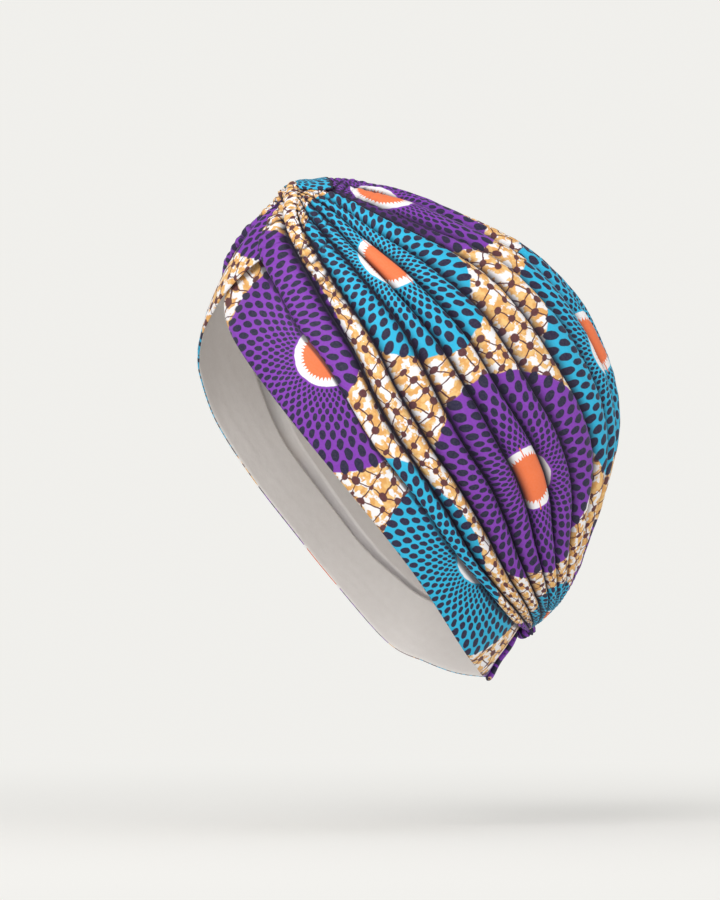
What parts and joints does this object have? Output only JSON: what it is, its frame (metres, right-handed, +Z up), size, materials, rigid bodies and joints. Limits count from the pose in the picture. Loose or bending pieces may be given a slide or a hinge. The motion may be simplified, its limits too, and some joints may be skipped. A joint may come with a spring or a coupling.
{
  "type": "pleated turban",
  "caption": "Pleated head wrap in printed stretch cloth, gathered above the brow and at the nape, with a smooth crossed band along the hem",
  "frame": {"origin": "the inside of the top of the crown, on the middle plane, where a head carries the turban", "axes": "+Z up, -Y the wearer's front, +X the wearer's left"},
  "size_m": [0.1836, 0.227, 0.2691],
  "materials": {
    "crown_cloth": "matte printed stretch knit, soft sheen",
    "band_cloth": "matte printed stretch knit, soft sheen",
    "gather_cloth": "matte printed stretch knit, tightly gathered"
  },
  "bodies": {
    "root": {"crown_left": "crown_cloth", "crown_right": "crown_cloth", "band_left": "band_cloth", "band_right": "band_cloth", "front_gather": "gather_cloth", "nape_gather": "gather_cloth"}
  },
  "joints": []
}
